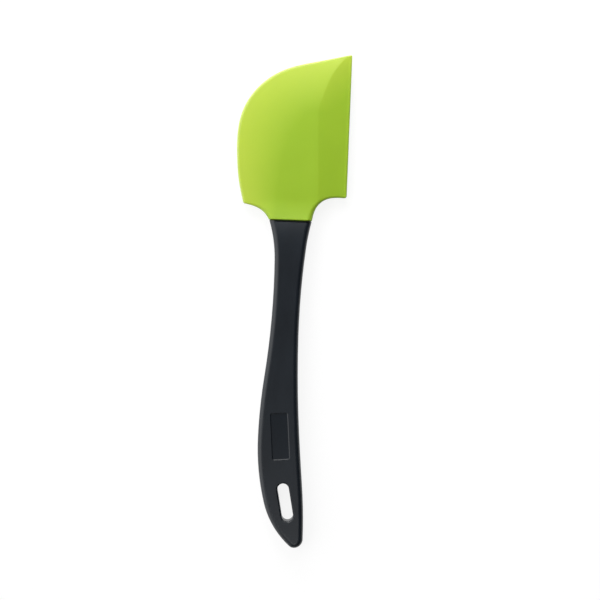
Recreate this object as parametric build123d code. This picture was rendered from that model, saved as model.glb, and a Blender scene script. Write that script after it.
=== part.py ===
from build123d import *
import os

# Silicone spatula in two mouldings: a stiff nylon handle with its tang, and a silicone head
# whose socket is pushed over that tang.
# Lengths are millimetres. While the pieces are made, y is zero at the seam between head and
# handle, +Y runs to the tip of the blade, and z is zero on the middle plane of both mouldings.

# Head
head_length = 95.3
head_left_reach = 32.0
head_right_reach = 31.2
rim_half_thickness = 0.85
plateau_half_thickness = 3.1
tip_round = 0.8
blade_corner_round = 1.3
neck_flare_length = 20.0

# Handle
handle_length = 184.7
handle_half_width = 14.2
handle_half_thickness = 5.5
side_round = 2.8
end_round = 5.0
ramp_length = 13.0

# Seam between the two, where both have the same cross-section
seam_half_width = 12.05
seam_half_thickness = 4.6
seam_bevel = 0.35

# Tang of the handle, which the socket of the head fits
tang_length = 52.0
tang_root_half_width = 9.2
tang_root_half_thickness = 2.45
tang_tip_half_thickness = 1.7
tang_tip_width = 8.6
tang_right_draft = 0.9
tang_bevel = 0.9
tang_tip_round = 2.4
tang_groove_width = 2.4
tang_groove_depth = 0.7
tang_groove_pitch = 5.2
socket_clearance = 0.1
socket_end_clearance = 0.8

# Hanging slot near the end of the handle
slot_width = 6.5
slot_length = 21.5
slot_x = 3.4
slot_from_end = 25.7
slot_tilt = 11.4
slot_rim_bevel = 0.75
slot_rim_slope = 45

# Shallow bare panel sunk in the front of the handle
panel_width = 9.7
panel_length = 26.2
panel_depth = 0.4
panel_round = 1.1
panel_x = -1.0
panel_from_end = 62.8
panel_tilt = 4.9

# One overrun serves all cuts
overrun = 3.0

# A face whose normal rises less than this share of its length is a wall, and an edge that rises
# less than this share of its length runs along it
steep_share = 0.5

# Left side and top of the blade, from below the shoulder to the tip. Each row holds the rim's
# place and the place on the plateau's edge that it slopes up to, as x shares of the head's
# reach to that side and y shares of head_length.
blade_row_shares = [
    (-0.810, 0.000, -0.267, 0.000),
    (-0.845, 0.093, -0.256, 0.094),
    (-0.931, 0.224, -0.233, 0.220),
    (-0.985, 0.371, -0.183, 0.335),
    (-0.923, 0.642, -0.040, 0.521),
    (-0.582, 0.813, 0.127, 0.631),
    (0.365, 0.949, 0.328, 0.699),
    (1.000, 1.000, 0.417, 0.695),
]

# The crease on the right of the plateau: x shares at the seam and at the plateau's top
crease_foot_share = 0.500
crease_top_share, plateau_top_share = blade_row_shares[-1][2:]

# Level lines of the blade, from just outside the rim to the plateau: how far each has risen,
# how far it has moved inwards on the crowned left side, and how far down the curved hip.
level_shares = [
    (-0.100, -0.060, -0.060),
    (0.000, 0.000, 0.000),
    (0.400, 0.272, 0.275),
    (0.795, 0.646, 0.670),
    (1.000, 1.000, 1.000),
]

# Shoulders: where each curve from the neck ends, and a place on its way, as x and y shares
left_shoulder_shares = [(-0.503, 0.053), (-0.845, 0.093)]
right_shoulder_shares = [(0.464, 0.084), (0.641, 0.133), (1.000, 0.144)]
left_shoulder_turn_shares = [(-0.50, 0.87), (-1.00, 0.17)]
right_shoulder_turn_shares = [(0.16, 0.99), (1.00, 0.00)]

# Sections of the neck from the seam into the blade: y share of the flare's length, share of the
# seam's width, share of the way from the plateau's thickness to the seam's, and share of the
# side round
neck_shares = [
    (0.00, 1.00, 1.00, 1.00),
    (0.50, 1.12, 0.30, 0.86),
    (1.00, 1.30, -0.30, 0.60),
]

# Handle's outline as tangent arcs from its low end up both sides to the seam. Each pair is where
# an arc ends: an x share of handle_half_width and a y share of handle_length below the seam.
handle_end_shares = (0.641, 1.000)
left_arc_shares = [
    (0.464, 0.995),
    (-0.214, 0.935),
    (-0.615, 0.865),
    (-0.951, 0.667),
    (-0.795, 0.480),
    (-0.572, 0.119),
]
right_arc_shares = [
    (0.881, 0.809),
    (0.690, 0.656),
    (0.502, 0.351),
    (0.669, 0.081),
]


def blade_place(x_share, y_share):
    """A place on the blade, from its shares of the head's size."""
    reach = head_left_reach if x_share < 0 else head_right_reach
    return (x_share * reach, y_share * head_length)


def handle_place(x_share, y_share):
    """A place on the handle, which lies below the seam."""
    return (x_share * handle_half_width, -y_share * handle_length)


def between(start, end, share):
    """The value that lies a share of the way from start to end."""
    return start + share * (end - start)


def crease_x(y):
    """Where the straight crease, or the line that continues it, crosses y."""
    foot_x = crease_foot_share * head_right_reach
    top_x = crease_top_share * head_right_reach
    return between(foot_x, top_x, y / (plateau_top_share * head_length))


def cross_plane(y):
    """A plane square to the spatula's length."""
    return Plane(origin=(0, y, 0), x_dir=(1, 0, 0), z_dir=(0, 1, 0))


def level_line(rise_share, inward_share, hip_share):
    """One closed level line of the blade's front, as a flat face at its own height."""
    side = []
    for rim_x, rim_y, top_x, top_y in blade_row_shares[:-1]:
        x_share = between(rim_x, top_x, inward_share)
        y_share = between(rim_y, top_y, inward_share)
        side.append(blade_place(x_share, y_share))
    foot_left = (side[0][0], -overrun)
    hip_y = between(1, plateau_top_share, hip_share) * head_length
    hip = (between(head_right_reach, crease_x(hip_y), rise_share), hip_y)
    foot_right = (between(head_right_reach, crease_x(-overrun), rise_share), -overrun)
    line = Line(foot_left, side[0])
    line += Spline(*side, hip)
    line += Polyline(hip, foot_right, foot_left)
    height = between(rim_half_thickness, plateau_half_thickness, rise_share)
    return Pos(0, 0, height) * make_face(line)


def hipped_block():
    """The blade's two crowned faces, before its edge is trimmed to the outline."""
    levels = [level_line(*shares) for shares in level_shares]
    crown = loft(levels)
    lowest = levels[0].bounding_box().min.Z
    band = extrude(Pos(0, 0, -lowest) * levels[0], amount=lowest)
    front = band + crown
    return front + mirror(front, about=Plane.XY)


def head_outline():
    """The blade's outline seen from the front, with its shoulders, down into the neck."""
    root_y = seam_bevel
    root_half_width = seam_half_width - seam_bevel
    neck_left = (-root_half_width, root_y)
    neck_right = (root_half_width, root_y)
    rim = [blade_place(*row[:2]) for row in blade_row_shares[1:]]
    left_shoulder = [blade_place(*shares) for shares in left_shoulder_shares]
    right_shoulder = [blade_place(*shares) for shares in right_shoulder_shares]
    line = Spline(neck_left, *left_shoulder, tangents=left_shoulder_turn_shares)
    line += Spline(*rim)
    line += Line(rim[-1], right_shoulder[-1])
    line += Spline(neck_right, *right_shoulder, tangents=right_shoulder_turn_shares)
    line += Line(neck_left, neck_right)
    outline = make_face(line)
    tip = outline.vertices().sort_by_distance((*rim[-1], 0))[0]
    outline = fillet(tip, tip_round)
    for corner in (left_shoulder[-1], right_shoulder[-1]):
        vertex = outline.vertices().sort_by_distance((*corner, 0))[0]
        outline = fillet(vertex, blade_corner_round)
    return outline


def blade():
    """The flexible blade, trimmed to its outline."""
    trim = extrude(head_outline(), amount=handle_half_thickness, both=True)
    return hipped_block() & trim


def rounded_section(y, half_width, half_thickness, radius):
    """A rounded rectangle across the spatula."""
    section = RectangleRounded(2 * half_width, 2 * half_thickness, radius)
    return cross_plane(y) * section


def neck():
    """The thick root of the head, which sinks into the blade as it widens."""
    sections = []
    for y_share, width_share, thickness_share, round_share in neck_shares:
        half_width = width_share * seam_half_width
        half_thickness = between(plateau_half_thickness, seam_half_thickness, thickness_share)
        section = rounded_section(
            y_share * neck_flare_length, half_width, half_thickness, round_share * side_round)
        sections.append(section)
    return loft(sections)


def tang_section(y, share, clearance, sunk):
    """The tang's section at y, a share of the way to its tip, or of its web in the grooves."""
    root_right = tang_root_half_width
    right = between(root_right, root_right - tang_right_draft, share) + clearance
    left = between(-root_right, root_right - tang_right_draft - tang_tip_width, share) - clearance
    half_thickness = between(tang_root_half_thickness, tang_tip_half_thickness, share)
    top = half_thickness + clearance - sunk
    bevel = min(tang_bevel, top / 2)
    half = [(left, 0), (left, top - bevel), (left + bevel, top)]
    half += [(right - bevel, top), (right, top - bevel), (right, 0)]
    upper = Polyline(half)
    return cross_plane(y) * make_face(upper + mirror(upper, about=Plane.XZ))


def tang_plan(clearance):
    """The tang seen from the front, with its tip corners rounded."""
    length = tang_length + (socket_end_clearance if clearance else 0)
    root_x = tang_root_half_width + clearance
    tip_right = root_x - tang_right_draft
    tip_left = tip_right - tang_tip_width - 2 * clearance
    plan = make_face(Polyline(
        (-root_x, -overrun), (-root_x, 0), (tip_left, length), (tip_right, length),
        (root_x, 0), (root_x, -overrun), (-root_x, -overrun)))
    return fillet(plan.vertices().group_by(Axis.Y)[-1], tang_tip_round + clearance)


def tang(clearance):
    """The tapered, grooved tang, or the space of its socket where a clearance is given."""
    length = tang_length + (socket_end_clearance if clearance else 0)
    places = [(-overrun, 0), (0, 0), (length, 1)]
    solid = loft([tang_section(y, share, clearance, 0) for y, share in places], ruled=True)
    depth = tang_groove_depth
    web = loft([tang_section(y, share, clearance, depth) for y, share in places], ruled=True)
    tip_right = tang_root_half_width - tang_right_draft
    tip_middle = tip_right - tang_tip_width / 2
    for side in (-1, 1):
        slab = Pos(tip_middle + side * tang_groove_pitch / 2, length / 2, 0) * Box(
            tang_groove_width - 2 * clearance, length, 2 * handle_half_thickness)
        solid -= slab - web
    return solid & extrude(tang_plan(clearance), amount=handle_half_thickness, both=True)


def head():
    """The silicone head: blade, neck and the socket for the tang."""
    return blade() + neck() - tang(socket_clearance)


def arc_chain(start, way, ends):
    """Arcs from start to each end in turn, every one tangent to the one before it."""
    chain = Curve()
    for end in ends:
        arc = TangentArc(start, end, tangent=way)
        chain += arc
        start, way = arc @ 1, arc % 1
    return chain


def handle_outline():
    """The bowed handle seen from the front."""
    left = [handle_place(*shares) for shares in left_arc_shares]
    right = [handle_place(*shares) for shares in right_arc_shares]
    seam_left = (-seam_half_width, 0)
    seam_right = (seam_half_width, 0)
    low = handle_place(*handle_end_shares)
    low_right = (low[0] + end_round, low[1] + end_round)
    line = arc_chain(low, (-1, 0), [*left, seam_left])
    line += RadiusArc(low, low_right, -end_round)
    line += arc_chain(low_right, (0, 1), [*right, seam_right])
    line += Line(seam_left, seam_right)
    return make_face(line)


def handle_side():
    """The handle seen from its side: flat faces that curve down to the thinner seam."""
    low_y = -handle_length - overrun
    seam_top = (0, seam_half_thickness)
    flat_top = (-ramp_length, handle_half_thickness)
    upper = TangentArc(flat_top, seam_top, tangent=(1, 0))
    upper += Line(flat_top, (low_y, handle_half_thickness))
    line = upper + mirror(upper, about=Plane.XZ)
    line += Line((low_y, handle_half_thickness), (low_y, -handle_half_thickness))
    line += Line(seam_top, (0, -seam_half_thickness))
    return make_face(line)


def grip():
    """The handle's rounded body, before anything is cut in it."""
    body = extrude(handle_outline(), amount=handle_half_thickness + overrun, both=True)
    body &= extrude(Plane.YZ * handle_side(), amount=2 * handle_half_width, both=True)
    below_seam = body.faces().sort_by(Axis.Y)[:-1]
    walls = [face for face in below_seam if abs(face.normal_at().Z) < steep_share]
    wall_edges = [edge for wall in walls for edge in wall.edges()]
    long_edges = [edge for edge in wall_edges if abs(edge.tangent_at().Z) < steep_share]
    body = fillet(long_edges, side_round)
    seam_edges = body.faces().sort_by(Axis.Y)[-1].edges()
    return chamfer(seam_edges, seam_bevel)


def slot_cut():
    """The hanging slot, right through the handle, with its bevelled rims."""
    slot = Pos(slot_x, slot_from_end - handle_length) * SlotOverall(
        slot_length, slot_width, rotation=90 + slot_tilt)
    through = extrude(slot, amount=2 * handle_half_thickness, both=True)
    foot = Pos(0, 0, handle_half_thickness - slot_rim_bevel)
    rim = extrude(foot * slot, amount=slot_rim_bevel + overrun, taper=-slot_rim_slope)
    return through + rim + mirror(rim, about=Plane.XY)


def panel_cut():
    """The shallow recess in the handle's front."""
    panel = RectangleRounded(panel_width, panel_length, panel_round, rotation=panel_tilt)
    floor = handle_half_thickness - panel_depth
    return extrude(Pos(panel_x, panel_from_end - handle_length, floor) * panel, amount=overrun)


def handle():
    """The nylon handle: grip, hanging slot, bare panel and tang in one moulding."""
    return grip() - slot_cut() - panel_cut() + tang(0)


def placed(solids):
    """Moves all to the finished frame: bottom centre of the whole spatula at zero."""
    first, *others = [solid.bounding_box() for solid in solids.values()]
    box = first
    for other in others:
        box = box.add(other)
    move = Pos(-box.center().X, -box.center().Y, -box.min.Z)
    return {name: move * solid for name, solid in solids.items()}


os.makedirs("parts", exist_ok=True)
for name, solid in placed({"handle": handle(), "silicone_head": head()}).items():
    box = solid.bounding_box()
    print(name, "volume", round(solid.volume), "from", box.min, "to", box.max)
    export_step(solid, f"parts/{name}.step")
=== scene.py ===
# %% [markdown]
# # A silicone spatula
#
# The object is two mouldings. A stiff handle of charcoal nylon, with a hanging slot, carries a
# lime green head of silicone that is pushed over a hidden tang. The CAD part gives the size and
# the frame. This script gives the two mouldings their finish, makes the head's soft, crowned
# blade, and sets up the floor, the light and the camera.
#
# All lengths are metres. Small sizes are written in millimetres, times `mm`.

# %% Load the CAD part as a fixed frame
import math

import bmesh
import bpy
import numpy as np
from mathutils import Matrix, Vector
from mathutils.geometry import delaunay_2d_cdt


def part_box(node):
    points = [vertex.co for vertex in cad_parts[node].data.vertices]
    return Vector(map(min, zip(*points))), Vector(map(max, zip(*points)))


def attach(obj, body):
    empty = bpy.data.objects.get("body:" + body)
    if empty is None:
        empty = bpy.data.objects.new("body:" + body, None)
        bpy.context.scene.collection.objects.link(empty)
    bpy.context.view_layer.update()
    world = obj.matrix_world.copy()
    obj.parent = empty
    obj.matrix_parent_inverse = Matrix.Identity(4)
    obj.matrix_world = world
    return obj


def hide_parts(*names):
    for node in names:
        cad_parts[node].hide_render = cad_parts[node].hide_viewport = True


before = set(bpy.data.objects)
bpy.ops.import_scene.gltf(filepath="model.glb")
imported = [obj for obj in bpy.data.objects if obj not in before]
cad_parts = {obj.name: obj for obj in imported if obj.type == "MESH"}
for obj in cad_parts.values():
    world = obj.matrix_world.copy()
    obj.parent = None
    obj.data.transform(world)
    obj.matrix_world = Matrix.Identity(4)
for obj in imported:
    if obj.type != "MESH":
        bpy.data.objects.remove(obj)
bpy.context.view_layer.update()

mm = 0.001
scene = bpy.context.scene


# %% [markdown]
# ## Colours and nodes
#
# A colour is written as the sRGB hex value that a picture editor shows. Blender's shaders work
# in linear light, so one function turns the hex value to linear. A second small function adds
# any node, with its settings and its inputs. An input is either a number or another node's
# socket, which is linked. Nodes could also be joined by hand in the editor, but a script can be
# read, compared and run again. With these two, a material reads as a list of what it is made of.

# %% Two helpers for every material and node tree
def colour(hex_value):
    """A linear colour from an sRGB hex value such as "#A0C040"."""
    shares = [int(hex_value[start:start + 2], 16) / 255 for start in (1, 3, 5)]
    linear = [s / 12.92 if s <= 0.04045 else ((s + 0.055) / 1.055) ** 2.4 for s in shares]
    return (*linear, 1.0)


def add_node(tree, kind, settings=None, **sockets):
    """Adds a node to a tree. A socket is named by its words, joined by _, or by in0, in1..."""
    node = tree.nodes.new(kind)
    for name, value in (settings or {}).items():
        setattr(node, name, value)
    for name, value in sockets.items():
        if name.startswith("in") and name[2:].isdigit():
            socket = node.inputs[int(name[2:])]
        else:
            socket = node.inputs[name.replace("_", " ")]
        if isinstance(value, bpy.types.NodeSocket):
            tree.links.new(value, socket)
        else:
            socket.default_value = value
    return node


print("white is", colour("#FFFFFF"), "and mid grey", round(colour("#808080")[0], 3))

# %% [markdown]
# ## The handle's nylon
#
# The handle is nylon filled with short glass fibres, moulded in a spark-eroded tool. That gives
# the eye a charcoal grey that is never quite black, a satin gloss, and a grain of about a
# quarter of a millimetre that breaks up the highlight. The glass also shows as faint cloudy
# flow marks along the handle. Pictures of the material could be laid on the handle instead, but
# they need an unwrapped surface and show their seams. Noise on the object's own coordinates
# makes the grain and the marks without either. Its scale is one over the real size.
#
# Two places have hardly any grain, because the mould is polished there: the panel's floor, and
# the tang with the last millimetre before it. Smooth nylon mirrors only a small part of the room,
# and the part above it is dim, so it looks deeper. The tang and that last millimetre are also
# painted near black: painted shade, for the dark line in the seam under the head. A mask for each
# comes from the object's coordinates. The panel's mask falls off softly, and also serves as the
# height of its eased edge. The recess itself is in the CAD part.

# %% The polished floor of the panel
handle_low, handle_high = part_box("handle")
panel_width = 9.7 * mm
panel_length = 26.2 * mm
panel_corner_round = 1.1 * mm
panel_edge_half_width = 0.24 * mm
panel_edge_depth = 0.22 * mm
panel_turn = math.radians(4.9)
panel_middle = (-0.6 * mm, handle_low.y + 62.8 * mm, 0)
front_zone = 1.0 * mm
print("panel's middle at y", round(panel_middle[1] / mm, 1), "mm")


def on_panel_floor(tree, place):
    """One on the floor of the shallow panel, falling to zero over the panel's eased edge."""
    any_depth = 1.0
    straight_half = (
        panel_width / 2 - panel_corner_round, panel_length / 2 - panel_corner_round, any_depth)
    local = add_node(
        tree, "ShaderNodeMapping", {"vector_type": "TEXTURE"}, Vector=place,
        Location=panel_middle, Rotation=(0, 0, panel_turn))
    away = add_node(tree, "ShaderNodeVectorMath", {"operation": "ABSOLUTE"}, in0=local.outputs[0])
    past = add_node(
        tree, "ShaderNodeVectorMath", {"operation": "SUBTRACT"}, in0=away.outputs[0],
        in1=straight_half)
    past = add_node(
        tree, "ShaderNodeVectorMath", {"operation": "MAXIMUM"}, in0=past.outputs[0],
        in1=(0, 0, 0))
    outward = add_node(tree, "ShaderNodeVectorMath", {"operation": "LENGTH"}, in0=past.outputs[0])
    inside = add_node(
        tree, "ShaderNodeMapRange", Value=outward.outputs["Value"],
        From_Min=panel_corner_round + panel_edge_half_width,
        From_Max=panel_corner_round - panel_edge_half_width)
    z = add_node(tree, "ShaderNodeSeparateXYZ", Vector=place).outputs["Z"]
    in_front = add_node(
        tree, "ShaderNodeMath", {"operation": "GREATER_THAN"}, in0=z,
        in1=handle_high.z - front_zone)
    return add_node(
        tree, "ShaderNodeMath", {"operation": "MULTIPLY"}, in0=inside.outputs[0],
        in1=in_front.outputs[0]).outputs[0]


# %% The polished tang and seam, with painted shade
seam_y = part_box("silicone_head")[0].y
# This band is also painted near black on the nylon: painted shade for the seam's dark line.
polished_shaded_band = 1.0 * mm
print("handle polished from y", round((seam_y - polished_shaded_band) / mm, 1), "mm")


def on_tang(tree, place):
    """One on the tang and on the last millimetre before the seam."""
    y = add_node(tree, "ShaderNodeSeparateXYZ", Vector=place).outputs["Y"]
    return add_node(
        tree, "ShaderNodeMath", {"operation": "GREATER_THAN"}, in0=y,
        in1=seam_y - polished_shaded_band).outputs[0]


# %% The moulded nylon, with its spark-eroded grain
def glass_filled_nylon():
    """Charcoal nylon with short glass fibres, injection moulded with a fine satin grain."""
    grain_size = 0.28 * mm
    grain_height = 0.02 * mm
    flow_size = 9 * mm
    drawn_along = (1, 0.35, 1)
    grain_strength, polished_grain_strength = 0.35, 0.1
    panel_roughness, tang_roughness = 0.30, 0.15
    material = bpy.data.materials.new("glass_filled_nylon_moulded")
    material.use_nodes = True
    tree = material.node_tree
    tree.nodes.clear()
    place = add_node(tree, "ShaderNodeTexCoord").outputs["Object"]
    drawn_out = add_node(tree, "ShaderNodeMapping", Vector=place, Scale=drawn_along)
    flow = add_node(
        tree, "ShaderNodeTexNoise", Vector=drawn_out.outputs[0], Scale=1 / flow_size, Detail=3.0)
    grain = add_node(
        tree, "ShaderNodeTexNoise", Vector=place, Scale=1 / grain_size, Detail=2.0)
    charcoal = add_node(
        tree, "ShaderNodeMix", {"data_type": "RGBA"}, Factor=flow.outputs["Fac"],
        in6=colour("#080E15"), in7=colour("#0E1923"))
    satin = add_node(
        tree, "ShaderNodeMapRange", Value=flow.outputs["Fac"], To_Min=0.33, To_Max=0.42)
    panel_floor = on_panel_floor(tree, place)
    tang = on_tang(tree, place)
    # Painted shade: the tang and the last millimetre before the seam turn near black, for the dark
    # line in the seam under the head.
    tint_with_painted_light = add_node(
        tree, "ShaderNodeMix", {"data_type": "RGBA"}, Factor=tang, in6=charcoal.outputs[2],
        in7=colour("#040608"))
    roughness = add_node(
        tree, "ShaderNodeMix", {"data_type": "FLOAT"}, Factor=panel_floor,
        in2=satin.outputs[0], in3=panel_roughness)
    roughness = add_node(
        tree, "ShaderNodeMix", {"data_type": "FLOAT"}, Factor=tang, in2=roughness.outputs[0],
        in3=tang_roughness)
    polished = add_node(
        tree, "ShaderNodeMath", {"operation": "MAXIMUM"}, in0=panel_floor, in1=tang)
    texture = add_node(
        tree, "ShaderNodeMapRange", Value=polished.outputs[0], To_Min=grain_strength,
        To_Max=polished_grain_strength)
    eased_edge = add_node(
        tree, "ShaderNodeBump", {"invert": True}, Height=panel_floor, Strength=1.0,
        Distance=panel_edge_depth)
    bump = add_node(
        tree, "ShaderNodeBump", Height=grain.outputs["Fac"], Strength=texture.outputs[0],
        Distance=grain_height, Normal=eased_edge.outputs[0])
    surface = add_node(
        tree, "ShaderNodeBsdfPrincipled", Base_Color=tint_with_painted_light.outputs[2],
        Roughness=roughness.outputs[0], Normal=bump.outputs[0], IOR=1.53)
    add_node(tree, "ShaderNodeOutputMaterial", Surface=surface.outputs[0])
    return material


# %% Put the nylon on the handle
nylon = glass_filled_nylon()
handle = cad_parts["handle"]
handle.data.materials.clear()
handle.data.materials.append(nylon)
print("handle", len(handle.data.polygons), "faces, material", nylon.name)


# %% [markdown]
# ## The head's silicone
#
# Liquid silicone rubber, moulded and cured. It is soft and slightly cloudy, so light goes in a
# little way and comes out again beside where it went in. That softens every edge. Towards the
# rim the rubber thins out, and its green is painted lighter and whiter there: painted light for
# the floor's light coming through the thin rubber, and a painted pale sheen on the top slopes.
# The last millimetre is painted pale, a painted glow along the rim. Its refractive index is
# 1.41, and the mould gives it a satin skin.
#
# A second, clearer material on the rim could make the change, but it would start at a line. An
# attribute that the blade's rule stores, called thinness, lets one material change smoothly.

# %% Moulded silicone rubber
def moulded_silicone():
    """Lime green liquid silicone rubber, moulded, with a satin skin and painted light at its thin
    rim.
    """
    skin_grain = 0.35 * mm
    grain_height = 0.01 * mm
    cloud_size = 14 * mm
    light_depth = 2 * mm
    painted_rim_glow_begins, painted_rim_glow_is_full, painted_rim_glow_share = 0.945, 0.975, 0.35
    material = bpy.data.materials.new("silicone_rubber_moulded")
    material.use_nodes = True
    tree = material.node_tree
    tree.nodes.clear()
    place = add_node(tree, "ShaderNodeTexCoord").outputs["Object"]
    thinness = add_node(
        tree, "ShaderNodeAttribute", {"attribute_name": "thinness"}).outputs["Fac"]
    cloud = add_node(
        tree, "ShaderNodeTexNoise", Vector=place, Scale=1 / cloud_size, Detail=2.0)
    grain = add_node(
        tree, "ShaderNodeTexNoise", Vector=place, Scale=1 / skin_grain, Detail=2.0)
    body = add_node(
        tree, "ShaderNodeMix", {"data_type": "RGBA"}, Factor=cloud.outputs["Fac"],
        in6=colour("#94B727"), in7=colour("#9ABD2C"))
    # Painted light: the green turns lighter and whiter where the rubber thins, for light coming
    # through from the floor below and a pale sheen on the top slopes.
    thin_with_painted_light = add_node(
        tree, "ShaderNodeMix", {"data_type": "RGBA"}, Factor=thinness,
        in6=body.outputs[2], in7=colour("#B4CA3E"))
    # Painted light: the last millimetre of the rim turns pale, a painted glow along the edge.
    painted_rim_glow = add_node(
        tree, "ShaderNodeMapRange", Value=thinness, From_Min=painted_rim_glow_begins,
        From_Max=painted_rim_glow_is_full, To_Max=painted_rim_glow_share)
    tint_with_painted_light = add_node(
        tree, "ShaderNodeMix", {"data_type": "RGBA"}, Factor=painted_rim_glow.outputs[0],
        in6=thin_with_painted_light.outputs[2], in7=colour("#D6E396"))
    bump = add_node(
        tree, "ShaderNodeBump", Height=grain.outputs["Fac"], Strength=0.15, Distance=grain_height)
    surface = add_node(
        tree, "ShaderNodeBsdfPrincipled", Base_Color=tint_with_painted_light.outputs[2], Roughness=0.42,
        Normal=bump.outputs[0], IOR=1.41, Subsurface_Weight=0.25, Subsurface_Scale=light_depth,
        Subsurface_Radius=(1.0, 0.9, 0.3))
    add_node(tree, "ShaderNodeOutputMaterial", Surface=surface.outputs[0])
    return material


# %% Put the silicone on the CAD head
silicone = moulded_silicone()
head_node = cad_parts["silicone_head"]
head_node.data.materials.clear()
head_node.data.materials.append(silicone)
print("head", len(head_node.data.polygons), "CAD faces, material", silicone.name)

# %% [markdown]
# ## The head's outline
#
# Seen from the front, the blade has a straight scraping edge on the right, a long curve round
# the left and the top for the side of a bowl, and two hollow shoulders down to the neck. The
# outline goes through a few places on each of these, written as shares of the blade's size. A
# smooth curve through them is the cubic spline that a flexible ruler would take. Bezier handles
# set by hand could do the same, but they are many more numbers. The three corners are rounded
# with a small arc.
#
# While it is made, the head has its own frame: x is zero on the tang's middle line, y is zero at
# the seam with the handle, and z is zero halfway through.

# %% Size of the head, from the CAD part
head_low, head_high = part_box("silicone_head")
head_length = 95.3 * mm
left_reach = 32.0 * mm
right_reach = 31.2 * mm
head_place = Vector((
    head_high.x - right_reach, head_low.y, (head_low.z + head_high.z) / 2))
print("head's frame at", [round(v / mm, 2) for v in head_place], "mm")

# %% Sizes of the blade that are read off the picture, or usual for such a spatula
neck_half_width = 12.05 * mm
seam_round = 0.35 * mm
seam_gap = 0.3 * mm
rim_half_thickness = 0.85 * mm
rim_strip_width = 1.7 * mm
plateau_half_thickness = 3.1 * mm

# Places on the rim, from the left corner to the tip, and on the edge of the flat plateau that
# each slopes up to: rim x, rim y, plateau x, plateau y.
rim_rows = np.array([
    (-0.845, 0.094, -0.256, 0.094),
    (-0.939, 0.224, -0.233, 0.220),
    (-0.989, 0.371, -0.183, 0.335),
    (-0.923, 0.642, -0.050, 0.500),
    (-0.582, 0.814, 0.115, 0.582),
    (-0.186, 0.899, 0.200, 0.620),
    (0.365, 0.951, 0.310, 0.645),
    (1.000, 1.000, 0.425, 0.645),
])
left_shoulder_shares = [(-0.503, 0.053), (-0.845, 0.094)]
right_shoulder_shares = [(0.464, 0.087), (0.641, 0.136), (1.000, 0.147)]


def on_blade(shares):
    """Places in the head's frame, from their shares of the blade's size."""
    return [(x * (left_reach if x < 0 else right_reach), y * head_length) for x, y in shares]


print(len(rim_rows), "rows, rim thickness", round(2 * rim_half_thickness / mm, 1), "mm")

# %% A smooth curve through points
def smooth_path(points, spacing, start_way=None, end_way=None):
    """Evenly spaced points on the cubic spline through some points. A way sets an end's run."""
    points = np.array(points, float)
    steps = np.linalg.norm(np.diff(points, axis=0), axis=1)
    slopes = np.diff(points, axis=0) / steps[:, None]
    system = np.eye(len(points))
    wanted = np.zeros_like(points)
    for i in range(1, len(points) - 1):
        system[i, i - 1:i + 2] = steps[i - 1], 2 * (steps[i - 1] + steps[i]), steps[i]
        wanted[i] = 6 * (slopes[i] - slopes[i - 1])
    if start_way is not None:
        system[0, :2] = 2 * steps[0], steps[0]
        wanted[0] = 6 * (slopes[0] - np.array(start_way) / np.hypot(*start_way))
    if end_way is not None:
        system[-1, -2:] = steps[-1], 2 * steps[-1]
        wanted[-1] = 6 * (np.array(end_way) / np.hypot(*end_way) - slopes[-1])
    bends = np.linalg.solve(system, wanted)
    knots = np.concatenate([[0], np.cumsum(steps)])
    at = np.linspace(0, knots[-1], max(2, round(knots[-1] / spacing)) + 1)
    span = np.clip(np.searchsorted(knots, at, side="right") - 1, 0, len(steps) - 1)
    ahead = ((at - knots[span]) / steps[span])[:, None]
    behind = 1 - ahead
    sag = (behind ** 3 - behind) * bends[span] + (ahead ** 3 - ahead) * bends[span + 1]
    return behind * points[span] + ahead * points[span + 1] + sag * steps[span][:, None] ** 2 / 6


# %% A rounded corner between two paths
def rounded_join(first, second, radius, count=9):
    """Two paths that meet in a corner, as one path with the corner rounded."""
    corner = first[-1]
    way_in = (corner - first[-3]) / np.linalg.norm(corner - first[-3])
    way_out = (second[2] - corner) / np.linalg.norm(second[2] - corner)
    turn = math.acos(np.clip(way_in @ way_out, -1, 1))
    reach = radius * math.tan(turn / 2)
    towards = (way_out - way_in) / np.linalg.norm(way_out - way_in)
    centre = corner + towards * radius / math.cos(turn / 2)
    angles = np.linspace(-turn / 2, turn / 2, count)[:, None]
    across = (way_in + way_out) / np.linalg.norm(way_in + way_out)
    arc = centre + radius * (across * np.sin(angles) - towards * np.cos(angles))
    kept_beyond = 1.1 * reach
    kept_first = first[np.linalg.norm(first - corner, axis=1) > kept_beyond]
    kept_second = second[np.linalg.norm(second - corner, axis=1) > kept_beyond]
    return np.vstack([kept_first, arc, kept_second])


# %% The outline, from the seam round the blade and back to the seam
edge_spacing = 0.6 * mm
corner_round = 1.3 * mm
tip_round = 0.8 * mm

# The way each side of the neck runs, from the seam up, and the way it reaches the blade's corner
left_run = (-0.50, 0.87)
right_run = (0.16, 0.99)
left_corner_run = (-1, 0.17)
right_corner_run = (1, 0)
neck_y = seam_gap + seam_round
neck_left = (-neck_half_width + neck_y * left_run[0] / left_run[1], neck_y)
neck_right = (neck_half_width + neck_y * right_run[0] / right_run[1], neck_y)
left_shoulder = smooth_path(
    [neck_left, *on_blade(left_shoulder_shares)], edge_spacing, left_run, left_corner_run)
rim = smooth_path(on_blade(rim_rows[:, :2]), edge_spacing)
scraping_edge = smooth_path([rim[-1], on_blade(right_shoulder_shares)[-1]], edge_spacing)
right_shoulder = smooth_path(
    [neck_right, *on_blade(right_shoulder_shares)], edge_spacing, right_run,
    right_corner_run)[::-1]
outline = rounded_join(left_shoulder, rim, corner_round)
outline = rounded_join(outline, scraping_edge, tip_round)
outline = rounded_join(outline, right_shoulder, corner_round)
along = np.concatenate([[0], np.cumsum(np.linalg.norm(np.diff(outline, axis=0), axis=1))])
print("outline", len(outline), "points,", round(along[-1] / mm, 1), "mm long")

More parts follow.
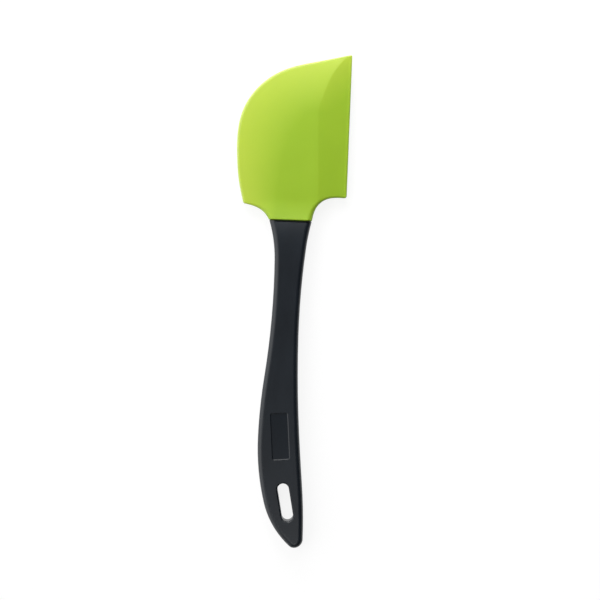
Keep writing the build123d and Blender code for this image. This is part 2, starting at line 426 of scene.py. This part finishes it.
# %% [markdown]
# ## A flat pattern for the blade's front
#
# The blade's front is a field of heights over its outline, so it starts as a flat sheet of
# small triangles that a rule can lift. A sheet of squares would be simpler, but it would make
# steps along the outline, where triangles can follow it. The sheet stops short of the outline
# by the radius of the rounded edge. Rows of points that lie on the sheet's border then wait
# there: each holds the way out to the edge, the radius and how far round the edge it belongs.
# The radius is large at the neck, where it meets the handle's side, and small along the thin
# rim. The last rows make the parting line, the hair of rubber where the two halves of the mould
# met.

# %% The width of the rounded edge along the outline
neck_round = 2.8 * mm
shoulder_round = 1.2 * mm
rim_round = 0.8 * mm
tip_edge_round = 0.65 * mm

# How far along the outline the radius takes to change beside a corner and beside the tip. The
# shoulder's radius is reached at a share of its length, counted from the seam. The radii are
# then evened out over a few points to each side.
corner_run = 5 * mm
tip_run = 6 * mm
shoulder_share = 0.6
ease_reach = 4

tip_at = along[np.argmax(outline[:, 1])]
left_corner_at = along[np.argmin(np.linalg.norm(outline - left_shoulder[-1], axis=1))]
right_corner_at = along[np.argmin(np.linalg.norm(outline - right_shoulder[0], axis=1))]
end_at = along[-1]
round_places = [
    0, shoulder_share * left_corner_at, left_corner_at, left_corner_at + corner_run,
    tip_at - tip_run, tip_at, tip_at + tip_run, right_corner_at - corner_run, right_corner_at,
    right_corner_at + (1 - shoulder_share) * (end_at - right_corner_at), end_at]
round_sizes = [
    neck_round, shoulder_round, rim_round, rim_round, rim_round, tip_edge_round,
    rim_round, rim_round, rim_round, shoulder_round, neck_round]
edge_round = np.interp(along, round_places, round_sizes)
ease = np.ones(2 * ease_reach + 1) / (2 * ease_reach + 1)
edge_round[ease_reach:-ease_reach] = np.convolve(edge_round, ease, mode="valid")
print("edge radius", round(edge_round.min() / mm, 2), "to", round(edge_round.max() / mm, 2), "mm")

# %% Each point's way out of the blade, square to the outline and turned sideways at the seam
square_run = 4 * mm
runs = np.gradient(outline, axis=0)
runs /= np.linalg.norm(runs, axis=1)[:, None]
way_out = np.column_stack([-runs[:, 1], runs[:, 0]])
square = np.clip(np.minimum(along, end_at - along) / square_run, 0, 1)[:, None]
sideways = np.column_stack([np.where(along < tip_at, -1.0, 1.0), np.zeros(len(along))])
way_out = sideways * (1 - square) + way_out * square
way_out /= np.linalg.norm(way_out, axis=1)[:, None]
sheet_border = outline - way_out * edge_round[:, None]
print("sheet", round(np.ptp(sheet_border[:, 0]) / mm, 1), "mm wide")

# %% Rows of edge points
parting_half_width = 0.1 * mm
parting_height = 0.05 * mm
edge_steps = 7

# How far round the edge a row is, its own height where it is on the parting line, and how far
# it stands out there. A height below zero says that the row isn't on the parting line.
quarter_turn = math.pi / 2
off_parting = -1.0
edge_rows = [
    (step / edge_steps * quarter_turn, off_parting, 0.0) for step in range(1, edge_steps + 1)]
edge_rows += [(quarter_turn, parting_half_width, 0.0), (quarter_turn, 0.0, parting_height)]
print(len(edge_rows), "rows of", len(outline), "edge points")

# %% The sheet, filled with even triangles
sheet_spacing = 0.6 * mm


def inside(points, loop):
    """Which points lie inside a closed loop, by counting the loop's edges to one side."""
    ahead = np.roll(loop, -1, axis=0)
    spans = (loop[:, 1] > points[:, 1, None]) != (ahead[:, 1] > points[:, 1, None])
    rise = np.where(ahead[:, 1] == loop[:, 1], 1.0, ahead[:, 1] - loop[:, 1])
    cross_x = loop[:, 0] + (points[:, 1, None] - loop[:, 1]) / rise * (ahead[:, 0] - loop[:, 0])
    return (spans & (cross_x > points[:, 0, None])).sum(axis=1) % 2 == 1


def points_inside(border):
    """Rows of points inside a border and clear of it, set as the corners of even triangles."""
    clear_of_border = 0.6 * sheet_spacing
    row_gap = sheet_spacing * math.sqrt(0.75)
    low, high = border.min(axis=0), border.max(axis=0)
    grid = np.array([
        (x, y) for row, y in enumerate(np.arange(low[1], high[1], row_gap))
        for x in np.arange(low[0] + (row % 2) * sheet_spacing / 2, high[0], sheet_spacing)])
    grid = grid[inside(grid, border)]
    gap = np.array([np.linalg.norm(border - point, axis=1).min() for point in grid])
    return grid[gap > clear_of_border]


def flat_sheet():
    """The sheet's points, those of its border first, and its triangles."""
    only_inside, tolerance = 1, 1e-6
    seam_steps = round((sheet_border[-1, 0] - sheet_border[0, 0]) / sheet_spacing)
    seam_line = np.linspace(sheet_border[-1], sheet_border[0], seam_steps + 1)[1:-1]
    border = np.vstack([sheet_border, seam_line])
    scale = 1 / sheet_spacing
    places = [Vector(point) for point in np.vstack([border, points_inside(border)]) * scale]
    loop = [(i, (i + 1) % len(border)) for i in range(len(border))]
    points, _, triangles, *_ = delaunay_2d_cdt(places, loop, [], only_inside, tolerance)
    return [(x / scale, y / scale, 0) for x, y in points], [tuple(t) for t in triangles]


# %% The pattern, with what each of its points holds
def flat_pattern():
    """The flat sheet as a mesh, with its rows of edge points and what each of them holds."""
    vertices, faces = flat_sheet()
    on_sheet = len(vertices)
    count = len(outline)
    held = {name: [0.0] * on_sheet for name in ("edge_turn", "parting_out", "edge_round")}
    held["parting_z"] = [off_parting] * on_sheet
    ways = [(0.0, 0.0, 0.0)] * on_sheet
    above = list(range(count))
    for turn, parting_z, parting_out in edge_rows:
        below = [len(vertices) + i for i in range(count)]
        vertices += [(x, y, 0) for x, y in sheet_border]
        faces += [(above[i], above[i + 1], below[i + 1], below[i]) for i in range(count - 1)]
        held["edge_turn"] += [turn] * count
        held["parting_z"] += [parting_z] * count
        held["parting_out"] += [parting_out] * count
        held["edge_round"] += edge_round.tolist()
        ways += [(x, y, 0.0) for x, y in way_out]
        above = below
    mesh = bpy.data.meshes.new("silicone_head")
    mesh.from_pydata(vertices, [], faces)
    for name, values in held.items():
        mesh.attributes.new(name, "FLOAT", "POINT").data.foreach_set("value", values)
    way = mesh.attributes.new("edge_way", "FLOAT_VECTOR", "POINT")
    way.data.foreach_set("vector", np.array(ways, np.float32).ravel())
    print("flat pattern", len(vertices), "points,", len(faces), "faces")
    return mesh


pattern = flat_pattern()


# %% [markdown]
# ## The rule that lifts the blade
#
# On the real blade the height at a place depends on where the place lies between two lines: the
# thin rim and the edge of the flat plateau. A share is worked out from the distances to both,
# and a crowned profile turns the share into height. On the right, a flat facet falls from the
# crease to a narrow flat strip along the scraping edge, and the lower of the two surfaces
# counts, blended a little where they meet. The neck swells up to the handle's thickness over
# its last 12 mm.
#
# It could be modelled by hand with a subdivision surface, but then every change of a size is
# new work. A Geometry Nodes tree holds the rule itself, with the sizes as its inputs.

# %% Guide shapes: the rim's line and the plateau
def guide(name, points, filled):
    """A flat guide for the tree, either a line along the points or the area inside them."""
    mesh = bpy.data.meshes.new(name)
    edges = [] if filled else [(i, i + 1) for i in range(len(points) - 1)]
    faces = [tuple(range(len(points)))] if filled else []
    mesh.from_pydata([(x, y, 0) for x, y in points], edges, faces)
    shape = bpy.data.objects.new(name, mesh)
    scene.collection.objects.link(shape)
    return shape


# Both guides run on past the blade, so that the distances near its ends are right as well
rim_line_shares = [(-0.810, -0.10), *rim_rows[:, :2].tolist(), (1.45, 1.036)]
plateau_shares = [(-0.267, -0.10), *rim_rows[:, 2:].tolist()]
plateau_beyond_crease = [
    (0.500, 0.637), (0.640, 0.650), (0.800, 0.700), (1.010, 0.770), (1.300, 0.880)]
rim_guide = guide("rim_guide", smooth_path(on_blade(rim_line_shares), edge_spacing), False)
plateau_line = smooth_path(on_blade(plateau_shares), edge_spacing)
plateau_guide = guide("plateau_guide", [
    *plateau_line, *on_blade(plateau_beyond_crease), *on_blade([(1.30, -0.10)])], True)
print("guides", len(rim_guide.data.edges), "edges and", len(plateau_line), "plateau points")


# %% What the rule is given, and how thin the blade is at a place
def declare_sockets(tree):
    """Names what the rule is given and what it hands on."""
    length, number, thing = "NodeSocketFloat", "NodeSocketFloat", "NodeSocketObject"
    for name, kind in (
            ("Geometry", "NodeSocketGeometry"), ("Rim", thing), ("Plateau", thing),
            ("Rim Half Thickness", length), ("Plateau Half Thickness", length),
            ("Crown Fullness", number), ("Right Edge X", length), ("Crease Foot X", length),
            ("Crease Top X", length), ("Crease Top Y", length), ("Crease Softness", length),
            ("Neck Rise", length), ("Neck Length", length), ("Neck Fullness", number),
            ("Neck Inner X", length), ("Neck Outer X", length),
            ("Place", "NodeSocketVector"), ("Material", "NodeSocketMaterial")):
        tree.interface.new_socket(name, in_out="INPUT", socket_type=kind)
    tree.interface.new_socket("Geometry", in_out="OUTPUT", socket_type="NodeSocketGeometry")


def thinness_share(tree, given):
    """Zero on the plateau and one at the rim, from the distances to both."""
    rim_shape = add_node(tree, "GeometryNodeObjectInfo", Object=given["Rim"])
    flat_shape = add_node(tree, "GeometryNodeObjectInfo", Object=given["Plateau"])
    to_rim = add_node(
        tree, "GeometryNodeProximity", {"target_element": "EDGES"},
        in0=rim_shape.outputs["Geometry"]).outputs["Distance"]
    to_plateau = add_node(
        tree, "GeometryNodeProximity", {"target_element": "FACES"},
        in0=flat_shape.outputs["Geometry"]).outputs["Distance"]
    both = add_node(tree, "ShaderNodeMath", {"operation": "ADD"}, in0=to_rim, in1=to_plateau)
    return add_node(
        tree, "ShaderNodeMath", {"operation": "DIVIDE"}, in0=to_plateau,
        in1=both.outputs[0]).outputs[0]


# %% The height of the blade
def blade_height(tree, given, xyz, thinness):
    """The lower of the crowned slope and the flat facet, blended where they meet."""
    lowered = add_node(
        tree, "ShaderNodeMath", {"operation": "POWER"}, in0=thinness,
        in1=given["Crown Fullness"])
    crown = add_node(
        tree, "ShaderNodeMapRange", Value=lowered.outputs[0],
        To_Min=given["Plateau Half Thickness"], To_Max=given["Rim Half Thickness"])
    crease_x = add_node(
        tree, "ShaderNodeMapRange", {"clamp": False}, Value=xyz["Y"],
        From_Max=given["Crease Top Y"], To_Min=given["Crease Foot X"],
        To_Max=given["Crease Top X"])
    facet = add_node(
        tree, "ShaderNodeMapRange", Value=xyz["X"],
        From_Min=given["Right Edge X"], From_Max=crease_x.outputs[0],
        To_Min=given["Rim Half Thickness"], To_Max=given["Plateau Half Thickness"])
    return add_node(
        tree, "ShaderNodeMath", {"operation": "SMOOTH_MIN"}, in0=crown.outputs[0],
        in1=facet.outputs[0], in2=given["Crease Softness"]).outputs[0]


# %% The neck
def with_neck(tree, given, xyz, blade):
    """The blade's height with the swell of the neck added towards the seam."""
    down_neck = add_node(
        tree, "ShaderNodeMapRange", Value=xyz["Y"], From_Min=given["Neck Length"], From_Max=0.0)
    swell = add_node(
        tree, "ShaderNodeMath", {"operation": "POWER"}, in0=down_neck.outputs[0],
        in1=given["Neck Fullness"])
    off_axis = add_node(tree, "ShaderNodeMath", {"operation": "ABSOLUTE"}, in0=xyz["X"])
    side = add_node(
        tree, "ShaderNodeMapRange", {"interpolation_type": "SMOOTHSTEP"},
        Value=off_axis.outputs[0], From_Min=given["Neck Outer X"],
        From_Max=given["Neck Inner X"], To_Max=given["Neck Rise"])
    return add_node(
        tree, "ShaderNodeMath", {"operation": "MULTIPLY_ADD"}, in0=swell.outputs[0],
        in1=side.outputs[0], in2=blade).outputs[0]


# %% The rounded edge
def edge_offset(tree, top):
    """How far a point moves: up to the surface, and round the edge as its attributes say."""
    held = {
        name: add_node(tree, "GeometryNodeInputNamedAttribute", {"data_type": "FLOAT"}, Name=name)
        .outputs["Attribute"] for name in ("edge_turn", "edge_round", "parting_z", "parting_out")}
    way = add_node(
        tree, "GeometryNodeInputNamedAttribute", {"data_type": "FLOAT_VECTOR"}, Name="edge_way")
    cosine = add_node(tree, "ShaderNodeMath", {"operation": "COSINE"}, in0=held["edge_turn"])
    fall = add_node(
        tree, "ShaderNodeMath", {"operation": "SUBTRACT"}, in0=1.0, in1=cosine.outputs[0])
    drop = add_node(
        tree, "ShaderNodeMath", {"operation": "MULTIPLY"}, in0=fall.outputs[0],
        in1=held["edge_round"])
    on_round = add_node(
        tree, "ShaderNodeMath", {"operation": "SUBTRACT"}, in0=top, in1=drop.outputs[0])
    at_parting = add_node(
        tree, "ShaderNodeMath", {"operation": "GREATER_THAN"}, in0=held["parting_z"],
        in1=off_parting / 2)
    z = add_node(
        tree, "ShaderNodeMix", {"data_type": "FLOAT"}, Factor=at_parting.outputs[0],
        in2=on_round.outputs[0], in3=held["parting_z"])
    sine = add_node(tree, "ShaderNodeMath", {"operation": "SINE"}, in0=held["edge_turn"])
    reach = add_node(
        tree, "ShaderNodeMath", {"operation": "MULTIPLY_ADD"}, in0=sine.outputs[0],
        in1=held["edge_round"], in2=held["parting_out"])
    outwards = add_node(
        tree, "ShaderNodeVectorMath", {"operation": "SCALE"}, Vector=way.outputs["Attribute"],
        Scale=reach.outputs[0])
    lift = add_node(tree, "ShaderNodeCombineXYZ", Z=z.outputs[0])
    return add_node(
        tree, "ShaderNodeVectorMath", {"operation": "ADD"}, in0=outwards.outputs[0],
        in1=lift.outputs[0]).outputs[0]


# %% The two halves
# Points that lie closer together than this become one
merge_gap = 0.001 * mm


def two_halves(tree, given, front):
    """The front and its mirror image, joined into one shell that lies in its place."""
    back = add_node(tree, "GeometryNodeTransform", Geometry=front, Scale=(1.0, 1.0, -1.0))
    back = add_node(tree, "GeometryNodeFlipFaces", Mesh=back.outputs[0])
    shell = add_node(tree, "GeometryNodeJoinGeometry", Geometry=front)
    tree.links.new(back.outputs[0], shell.inputs[0])
    shell = add_node(
        tree, "GeometryNodeMergeByDistance", Geometry=shell.outputs[0], Distance=merge_gap)
    shell = add_node(
        tree, "GeometryNodeTransform", Geometry=shell.outputs[0], Translation=given["Place"])
    shell = add_node(tree, "GeometryNodeRealizeInstances", Geometry=shell.outputs[0])
    shell = add_node(
        tree, "GeometryNodeSetMaterial", Geometry=shell.outputs[0], Material=given["Material"])
    return shell.outputs[0]


# %% The node tree
def raised_blade_tree():
    """Lifts a flat pattern to the blade's front, rounds its edge and mirrors it to the back."""
    tree = bpy.data.node_groups.new("raised_blade", "GeometryNodeTree")
    declare_sockets(tree)
    given = add_node(tree, "NodeGroupInput").outputs
    place = add_node(tree, "GeometryNodeInputPosition").outputs[0]
    xyz = add_node(tree, "ShaderNodeSeparateXYZ", Vector=place).outputs
    thinness = thinness_share(tree, given)
    top = with_neck(tree, given, xyz, blade_height(tree, given, xyz, thinness))
    front = add_node(
        tree, "GeometryNodeStoreNamedAttribute", {"data_type": "FLOAT", "domain": "POINT"},
        Geometry=given["Geometry"], Name="thinness", Value=thinness)
    front = add_node(
        tree, "GeometryNodeSetPosition", Geometry=front.outputs[0], Offset=edge_offset(tree, top))
    shell = two_halves(tree, given, front.outputs[0])
    add_node(tree, "NodeGroupOutput", Geometry=shell)
    return tree


blade_tree = raised_blade_tree()
print("rule", len(blade_tree.nodes), "nodes,", len(blade_tree.links), "links")

# %% Lift the pattern
blade_sizes = {
    "Rim": rim_guide, "Plateau": plateau_guide, "Rim Half Thickness": rim_half_thickness,
    "Plateau Half Thickness": plateau_half_thickness, "Crown Fullness": 1.55,
    "Right Edge X": right_reach - rim_strip_width, "Crease Foot X": 0.500 * right_reach,
    "Crease Top X": 0.425 * right_reach, "Crease Top Y": 0.645 * head_length,
    "Crease Softness": 0.15 * mm, "Neck Rise": 1.5 * mm, "Neck Length": 12 * mm,
    "Neck Fullness": 1.6, "Neck Inner X": 11.5 * mm, "Neck Outer X": 21 * mm,
    "Place": head_place, "Material": silicone}

head = bpy.data.objects.new("silicone_head_moulding", pattern)
scene.collection.objects.link(head)
lifting = head.modifiers.new("raised_blade", "NODES")
lifting.node_group = blade_tree
for item in blade_tree.interface.items_tree:
    if item.in_out == "INPUT" and item.name in blade_sizes:
        lifting[item.identifier] = blade_sizes[item.name]
evaluated = head.evaluated_get(bpy.context.evaluated_depsgraph_get())
raised = bpy.data.meshes.new_from_object(evaluated)
head.modifiers.remove(lifting)
for helper in (rim_guide, plateau_guide):
    bpy.data.objects.remove(helper)
print("raised shell", len(raised.vertices), "points,", len(raised.polygons), "faces")

# %% [markdown]
# ## The seam end and the socket
#
# The shell is still open at the seam. Its edge is rolled in by a small radius and stops a hair
# short of the nylon, which leaves a fine dark gap between the two. The nylon beside it is painted
# near black as well, painted shade that deepens that line. Closer to the tang, the end of the
# rubber does rest on the handle. Inside is the socket that fits the handle's tang. A Boolean cut
# could make the socket, but leaves thin sliver faces. Its walls come from the CAD part instead,
# so the fit stays exact and the head can be pulled off.

# %% The socket's walls, from the CAD head
socket_half_width = 9.45 * mm
socket_half_thickness = 2.7 * mm
tang_end_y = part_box("handle")[1].y
socket_end_room = 1.2 * mm
mouth_margin = 0.01 * mm


def in_socket(face):
    """Whether a face of the CAD head is part of the socket's walls."""
    deep = max(corner.co.y for corner in face.verts) > head_place.y + mouth_margin
    return deep and all(
        abs(corner.co.x - head_place.x) < socket_half_width
        and abs(corner.co.z - head_place.z) < socket_half_thickness
        and corner.co.y < tang_end_y + socket_end_room for corner in face.verts)


def socket_walls():
    """The CAD head's socket as a mesh of its own."""
    cut = bmesh.new()
    cut.from_mesh(head_node.data)
    bmesh.ops.remove_doubles(cut, verts=cut.verts, dist=merge_gap)
    bmesh.ops.delete(cut, geom=[f for f in cut.faces if not in_socket(f)], context="FACES")
    mesh = bpy.data.meshes.new("socket")
    cut.to_mesh(mesh)
    cut.free()
    return mesh


socket = socket_walls()
print("socket walls", len(socket.polygons), "faces")


# %% Roll the seam's edge in
def roll_in_seam_edge(body):
    """Turns the shell's open edge in by a quarter turn, one row of faces after another."""
    roll_steps = 4
    rim_edges = [edge for edge in body.edges if edge.is_boundary]
    outward = {}
    for edge in rim_edges:
        for corner in edge.verts:
            outward[corner] = Vector((corner.normal.x, 0, corner.normal.z)).normalized()
    start = {corner: corner.co.copy() for corner in outward}
    for step in range(1, roll_steps + 1):
        turn = step / roll_steps * quarter_turn
        made = bmesh.ops.extrude_edge_only(body, edges=rim_edges)["geom"]
        rim_edges = [item for item in made if isinstance(item, bmesh.types.BMEdge)]
        next_outward, next_start = {}, {}
        for corner in {c for edge in rim_edges for c in edge.verts}:
            nearest = min(
                (e.other_vert(corner) for e in corner.link_edges if e.other_vert(corner) in start),
                key=lambda other: (other.co - corner.co).length)
            next_outward[corner], next_start[corner] = outward[nearest], start[nearest]
        for corner, away in next_outward.items():
            inward = away * -seam_round * (1 - math.cos(turn))
            corner.co = next_start[corner] + inward
            corner.co.y = next_start[corner].y - seam_round * math.sin(turn)
        outward, start = next_outward, next_start
        rim_edges = [e for e in rim_edges if e.is_boundary]


# %% Add the socket and close the end
sharp_angle = math.radians(40)


def finished_head():
    """The head as one closed mesh: the shell, its rolled seam edge, the end and the socket."""
    body = bmesh.new()
    body.from_mesh(raised)
    body.normal_update()
    roll_in_seam_edge(body)
    body.from_mesh(socket)
    ends = [edge for edge in body.edges if edge.is_boundary]
    bmesh.ops.triangle_fill(body, use_beauty=True, edges=ends, normal=(0, -1, 0))
    bmesh.ops.recalc_face_normals(body, faces=body.faces)
    open_edges = sum(not edge.is_manifold for edge in body.edges)
    mesh = bpy.data.meshes.new("silicone_head_moulding")
    body.to_mesh(mesh)
    body.free()
    print("head", len(mesh.polygons), "faces,", open_edges, "open edges")
    return mesh


head.data = finished_head()
head.data.materials.clear()
head.data.materials.append(silicone)
head.data.shade_smooth()
head.data.set_sharp_from_angle(angle=sharp_angle)
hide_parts("silicone_head")
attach(head, "head")

# %% [markdown]
# ## Camera
#
# The picture was taken from straight above, with the spatula turned a little in the frame. A
# camera without perspective could take it, but a real lens has a little. A long lens keeps the
# outline almost free of it. The frame's width at the object and the lens give the camera's
# height.

# %% The camera above the spatula
frame_width = 340 * mm
frame_centre = Vector((7.55 * mm, 0.2 * mm, 5.5 * mm))
roll = math.radians(2.3)

camera_data = bpy.data.cameras.new("camera")
camera_data.lens = 100
camera_data.sensor_width = 36
camera = bpy.data.objects.new("camera", camera_data)
height = frame_width * camera_data.lens / camera_data.sensor_width
camera.location = frame_centre + Vector((0, 0, height))
camera.rotation_euler = (0, 0, roll)
scene.collection.objects.link(camera)
scene.camera = camera
print("camera height", round(height, 3))

# %% [markdown]
# ## Floor
#
# The floor is a plain pale sheet under the spatula. The camera sees it nearly white, as the
# paper of a product picture, with the soft shadow still on it. The light that it throws back
# onto the object is that of pale grey paper. The background could be cut away and laid on white
# afterwards, but then it would need a second step. A material that tells the camera's rays from
# the rest does both at once.

# %% Pale paper floor
def pale_paper():
    """Matt paper. Where the camera sees it, it is lifted towards white, and its shadows stay."""
    glow_strength = 0.86
    material = bpy.data.materials.new("matt_paper")
    material.use_nodes = True
    tree = material.node_tree
    tree.nodes.clear()
    rays = add_node(tree, "ShaderNodeLightPath").outputs
    seen = add_node(
        tree, "ShaderNodeMath", {"operation": "MAXIMUM"}, in0=rays["Is Camera Ray"],
        in1=rays["Is Glossy Ray"])
    seen = add_node(
        tree, "ShaderNodeMath", {"operation": "MAXIMUM"}, in0=seen.outputs[0],
        in1=rays["Is Transmission Ray"])
    paper = add_node(tree, "ShaderNodeBsdfDiffuse", Color=colour("#E6E6E6"))
    lit = add_node(tree, "ShaderNodeBsdfDiffuse", Color=colour("#767676"))
    glow = add_node(
        tree, "ShaderNodeEmission", Color=colour("#FFFFFF"), Strength=glow_strength)
    lifted = add_node(tree, "ShaderNodeAddShader", in0=lit.outputs[0], in1=glow.outputs[0])
    surface = add_node(
        tree, "ShaderNodeMixShader", Fac=seen.outputs[0], in1=paper.outputs[0],
        in2=lifted.outputs[0])
    add_node(tree, "ShaderNodeOutputMaterial", Surface=surface.outputs[0])
    return material


# %% Lay the floor
floor_half_width = 3.0
floor_mesh = bpy.data.meshes.new("floor")
floor_corners = [
    (x * floor_half_width, y * floor_half_width, 0)
    for x, y in ((-1, -1), (1, -1), (1, 1), (-1, 1))]
floor_mesh.from_pydata(floor_corners, [], [(0, 1, 2, 3)])
floor_mesh.materials.append(pale_paper())
floor = bpy.data.objects.new("floor", floor_mesh)
scene.collection.objects.link(floor)
print("floor", 2 * floor_half_width, "m wide")

# %% [markdown]
# ## Light
#
# A soft box stands low beyond the blade's top. It gives the top and left slopes their
# brightness, which falls off towards the handle. A second one, higher up, adds a pale sheen to
# the same slopes. A third hangs high beyond the handle's low end and shows there as a faint
# sheen, and a small one on the right draws the light line on the right edges. The world is a
# white tent with one bright wall, on the left. The rest of the tent is dim, as is its top, where
# the camera looks in. So flat dark faces stay dark, and the handle's rounded left side catches
# the wall as a soft band. A picture of a studio could light the scene as well, but four lamps
# and a wall are easier to move and to explain. The strengths together give a plain exposure, at
# which the silicone renders about as its colour is written.

# %% Soft boxes
def soft_box(name, place, target, width, power):
    """A square area lamp of a width in metres and a power in watts that faces a target."""
    data = bpy.data.lights.new(name, "AREA")
    data.size = width
    data.energy = power
    lamp = bpy.data.objects.new(name, data)
    lamp.location = place
    lamp.rotation_euler = (Vector(place) - Vector(target)).to_track_quat("Z", "Y").to_euler()
    scene.collection.objects.link(lamp)
    print(name, power, "W, from", place)


soft_box("key", (-0.10, 0.43, 0.22), (0, 0.09, 0), 0.26, 1.15)
soft_box("sheen", (0.03, 0.51, 0.62), (0, 0.10, 0), 0.26, 1.05)
soft_box("low_end", (0.0, -0.46, 0.80), (0, -0.10, 0), 0.25, 1.0)
soft_box("right_edge", (0.28, 0.36, 0.14), (0.02, 0.12, 0), 0.15, 0.45)

# %% The tent round them
wall_way = (-0.95, 0.3, 0.0)
wall_begins, wall_is_full = 0.1, 0.75
tent_strength, wall_strength = 0.055, 1.9

world = bpy.data.worlds.new("studio")
world.use_nodes = True
tree = world.node_tree
tree.nodes.clear()
rays = add_node(tree, "ShaderNodeLightPath")
way = add_node(tree, "ShaderNodeTexCoord").outputs["Generated"]
to_wall = add_node(
    tree, "ShaderNodeVectorMath", {"operation": "DOT_PRODUCT"}, in0=way, in1=wall_way)
tent = add_node(
    tree, "ShaderNodeMapRange", {"interpolation_type": "SMOOTHSTEP"},
    Value=to_wall.outputs["Value"], From_Min=wall_begins, From_Max=wall_is_full,
    To_Min=tent_strength, To_Max=wall_strength)
strength = add_node(
    tree, "ShaderNodeMapRange", Value=rays.outputs["Is Camera Ray"],
    To_Min=tent.outputs[0], To_Max=1.0)
backdrop = add_node(
    tree, "ShaderNodeBackground", Color=colour("#FFFFFF"), Strength=strength.outputs[0])
add_node(tree, "ShaderNodeOutputWorld", Surface=backdrop.outputs[0])
scene.world = world
scene.view_settings.view_transform = "Standard"
print("tent", tent_strength, "with a wall of", wall_strength)
